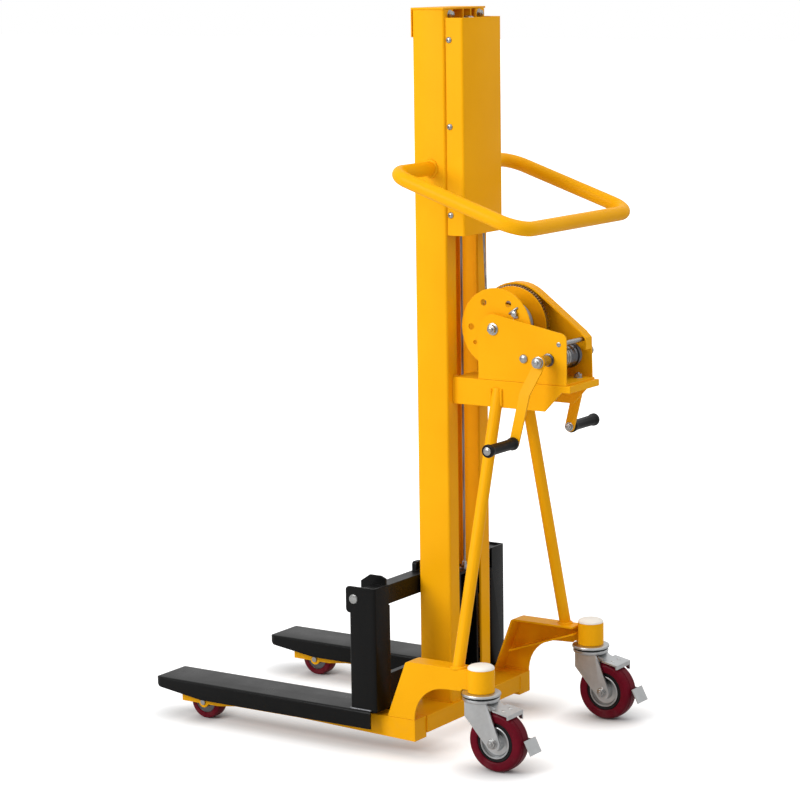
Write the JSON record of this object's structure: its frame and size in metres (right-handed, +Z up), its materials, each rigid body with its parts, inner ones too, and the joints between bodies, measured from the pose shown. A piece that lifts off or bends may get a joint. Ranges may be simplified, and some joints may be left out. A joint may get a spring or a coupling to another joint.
{
  "type": "high lift pallet truck",
  "caption": "Manual high lift pallet truck: forks on a mast carriage, raised by a geared hand winch and wire rope, on straddle legs and braked swivel casters.",
  "frame": {"origin": "centre of the overall box, on the floor", "axes": "+Z up, the forks point to -Y, the operator stands at +Y, +X is the operator's left"},
  "size_m": [0.5288, 0.9468, 1.5323],
  "materials": {
    "yellow_paint": "glossy powder coat",
    "black_paint": "satin powder coat",
    "zinc": "zinc plated",
    "steel": "bright plated",
    "dark_steel": "dark oiled",
    "wire_rope": "stranded",
    "wheel_tread": "smooth polyurethane",
    "white_plastic": "satin",
    "black_plastic": "satin"
  },
  "bodies": {
    "chassis": {"mast_channel_left": "yellow_paint", "mast_channel_right": "yellow_paint", "mast_head": "yellow_paint", "pulley_axle": "steel", "rope_cover": "yellow_paint", "push_handle": "yellow_paint", "crossbeam": "yellow_paint", "leg_left": "yellow_paint", "leg_right": "yellow_paint", "side_bracket_left": "yellow_paint", "side_bracket_right": "yellow_paint", "strut_left": "yellow_paint", "strut_right": "yellow_paint", "winch_platform": "yellow_paint", "stem_cap_left": "white_plastic", "stem_cap_right": "white_plastic", "winch_frame": "yellow_paint", "drum_axle": "steel", "spacer_rod": "steel", "load_axle_left": "steel", "load_axle_right": "steel", "rope_to_winch": "wire_rope", "rope_to_carriage": "wire_rope", "caster_head_left": "zinc", "caster_head_right": "zinc"},
    "carriage": {"carriage_frame": "black_paint", "fork_bar": "black_paint", "fork_left": "black_paint", "fork_right": "black_paint", "fork_rod": "steel", "rope_anchor": "steel"},
    "head_pulley": {"head_pulley": "steel"},
    "drum": {"winch_drum": "yellow_paint", "drum_gear": "steel", "rope_coil": "wire_rope", "rope_clamp": "steel"},
    "idler": {"idler_gear": "steel"},
    "crank": {"crank_shaft": "steel", "brake_hub": "dark_steel", "crank_arm_left": "yellow_paint", "crank_arm_right": "yellow_paint"},
    "pawl": {"pawl": "steel"},
    "crank_grip_left": {"crank_grip_left": "black_plastic"},
    "load_wheel_left": {"load_wheel_left": "wheel_tread"},
    "caster_left": {"caster_fork_left": "zinc", "caster_axle_left": "steel"},
    "caster_wheel_left": {"caster_tyre_left": "wheel_tread", "caster_hub_left": "zinc"},
    "caster_brake_left": {"caster_brake_left": "zinc"},
    "mast_roller_lower_left": {"mast_roller_lower_left": "dark_steel"},
    "mast_roller_upper_left": {"mast_roller_upper_left": "dark_steel"},
    "crank_grip_right": {"crank_grip_right": "black_plastic"},
    "load_wheel_right": {"load_wheel_right": "wheel_tread"},
    "caster_right": {"caster_fork_right": "zinc", "caster_axle_right": "steel"},
    "caster_wheel_right": {"caster_tyre_right": "wheel_tread", "caster_hub_right": "zinc"},
    "caster_brake_right": {"caster_brake_right": "zinc"},
    "mast_roller_lower_right": {"mast_roller_lower_right": "dark_steel"},
    "mast_roller_upper_right": {"mast_roller_upper_right": "dark_steel"}
  },
  "joints": [
    {"name": "lift", "type": "slide", "parent": "chassis", "child": "carriage", "axis": [0, 0, 1], "range_m": [0, 1.08], "deforming": ["rope_to_carriage"]},
    {"name": "drum_spin", "type": "hinge", "parent": "chassis", "child": "drum", "pos_m": [0.011, 0.2805, 0.878], "axis": [1, 0, 0], "range_deg": [0, 1127]},
    {"name": "idler_spin", "type": "hinge", "parent": "chassis", "child": "idler", "pos_m": [-0.03, 0.35438, 0.82151], "axis": [1, 0, 0], "range_deg": [-8389, 0]},
    {"name": "crank_spin", "type": "hinge", "parent": "chassis", "child": "crank", "pos_m": [0, 0.41335, 0.82337], "axis": [1, 0, 0], "range_deg": [0, 17661]},
    {"name": "head_pulley_spin", "type": "hinge", "parent": "chassis", "child": "head_pulley", "pos_m": [-0.01, 0.1825, 1.49], "axis": [1, 0, 0], "range_deg": [-3095, 0]},
    {"name": "pawl_swing", "type": "hinge", "parent": "chassis", "child": "pawl", "pos_m": [0.041, 0.437, 0.856], "axis": [1, 0, 0], "range_deg": [0, 18]},
    {"name": "crank_grip_left_spin", "type": "hinge", "parent": "crank", "child": "crank_grip_left", "pos_m": [0.18, 0.3723, 0.65871], "axis": [1, 0, 0], "continuous": true},
    {"name": "load_wheel_left_spin", "type": "hinge", "parent": "chassis", "child": "load_wheel_left", "pos_m": [0.20855, -0.3625, 0.038], "axis": [1, 0, 0], "continuous": true},
    {"name": "caster_left_swivel", "type": "hinge", "parent": "chassis", "child": "caster_left", "pos_m": [0.2239, 0.3483, 0.15], "axis": [0, 0, 1], "continuous": true},
    {"name": "caster_wheel_left_spin", "type": "hinge", "parent": "caster_left", "child": "caster_wheel_left", "pos_m": [0.2239, 0.3903, 0.0625], "axis": [1, 0, 0], "continuous": true},
    {"name": "caster_brake_left_pedal", "type": "hinge", "parent": "caster_left", "child": "caster_brake_left", "pos_m": [0.2239, 0.3903, 0.0625], "axis": [1, 0, 0], "range_deg": [-15, 0]},
    {"name": "mast_roller_lower_left_spin", "type": "hinge", "parent": "carriage", "child": "mast_roller_lower_left", "pos_m": [0.0555, 0.1445, 0.135], "axis": [1, 0, 0], "range_deg": [-1871, 0]},
    {"name": "mast_roller_upper_left_spin", "type": "hinge", "parent": "carriage", "child": "mast_roller_upper_left", "pos_m": [0.0555, 0.1445, 0.31], "axis": [1, 0, 0], "range_deg": [0, 1871]},
    {"name": "crank_grip_right_spin", "type": "hinge", "parent": "crank", "child": "crank_grip_right", "pos_m": [-0.15, 0.3723, 0.65871], "axis": [1, 0, 0], "continuous": true},
    {"name": "load_wheel_right_spin", "type": "hinge", "parent": "chassis", "child": "load_wheel_right", "pos_m": [-0.20855, -0.3625, 0.038], "axis": [1, 0, 0], "continuous": true},
    {"name": "caster_right_swivel", "type": "hinge", "parent": "chassis", "child": "caster_right", "pos_m": [-0.2239, 0.3483, 0.15], "axis": [0, 0, 1], "continuous": true},
    {"name": "caster_wheel_right_spin", "type": "hinge", "parent": "caster_right", "child": "caster_wheel_right", "pos_m": [-0.2239, 0.3903, 0.0625], "axis": [1, 0, 0], "continuous": true},
    {"name": "caster_brake_right_pedal", "type": "hinge", "parent": "caster_right", "child": "caster_brake_right", "pos_m": [-0.2239, 0.3903, 0.0625], "axis": [1, 0, 0], "range_deg": [-15, 0]},
    {"name": "mast_roller_lower_right_spin", "type": "hinge", "parent": "carriage", "child": "mast_roller_lower_right", "pos_m": [-0.0555, 0.1445, 0.135], "axis": [1, 0, 0], "range_deg": [-1871, 0]},
    {"name": "mast_roller_upper_right_spin", "type": "hinge", "parent": "carriage", "child": "mast_roller_upper_right", "pos_m": [-0.0555, 0.1445, 0.31], "axis": [1, 0, 0], "range_deg": [0, 1871]}
  ],
  "couplings": [
    {"joint": "drum_spin", "follows": "lift", "rad_per_m": 18.182},
    {"joint": "idler_spin", "follows": "lift", "rad_per_m": -135.54},
    {"joint": "crank_spin", "follows": "lift", "rad_per_m": 285.34},
    {"joint": "head_pulley_spin", "follows": "lift", "rad_per_m": -50},
    {"joint": "mast_roller_lower_left_spin", "follows": "lift", "rad_per_m": -30.211},
    {"joint": "mast_roller_upper_left_spin", "follows": "lift", "rad_per_m": 30.211},
    {"joint": "mast_roller_lower_right_spin", "follows": "lift", "rad_per_m": -30.211},
    {"joint": "mast_roller_upper_right_spin", "follows": "lift", "rad_per_m": 30.211}
  ]
}
